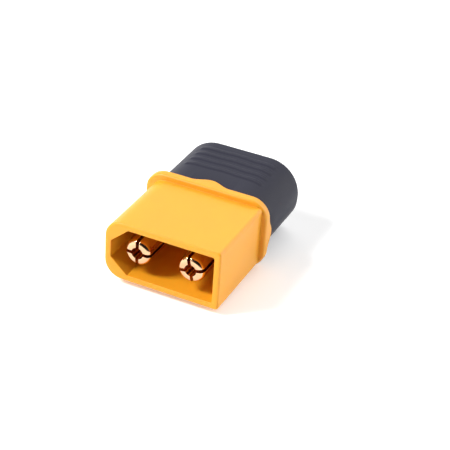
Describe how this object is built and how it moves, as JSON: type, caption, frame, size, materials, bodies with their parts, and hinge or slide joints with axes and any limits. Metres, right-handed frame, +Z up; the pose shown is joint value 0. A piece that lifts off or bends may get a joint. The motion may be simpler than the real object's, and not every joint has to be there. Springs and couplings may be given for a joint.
{
  "type": "battery power connector",
  "caption": "Keyed battery power connector, pin half: a moulded socket around slotted bullet pins, a wavy flange and a push-on sheath over the solder cups.",
  "frame": {"origin": "middle of the footprint, at the height of the flange's lowest edge", "axes": "-Y is the way the socket's mouth faces, +Y the way the wires leave, +Z up across the thin side, and the key's chamfers are at -X"},
  "size_m": [0.0168, 0.0238, 0.0096],
  "materials": {
    "orange_nylon": "satin, moulded",
    "gold_plated_brass": "bright gold plate on turned brass",
    "black_nylon": "satin, moulded, fine grain"
  },
  "bodies": {
    "housing": {"housing": "orange_nylon", "positive_contact": "gold_plated_brass", "negative_contact": "gold_plated_brass"},
    "sheath": {"sheath": "black_nylon"}
  },
  "joints": [
    {"name": "sheath_slide", "type": "slide", "parent": "housing", "child": "sheath", "axis": [0, 1, 0], "range_m": [0, 0.012]}
  ]
}
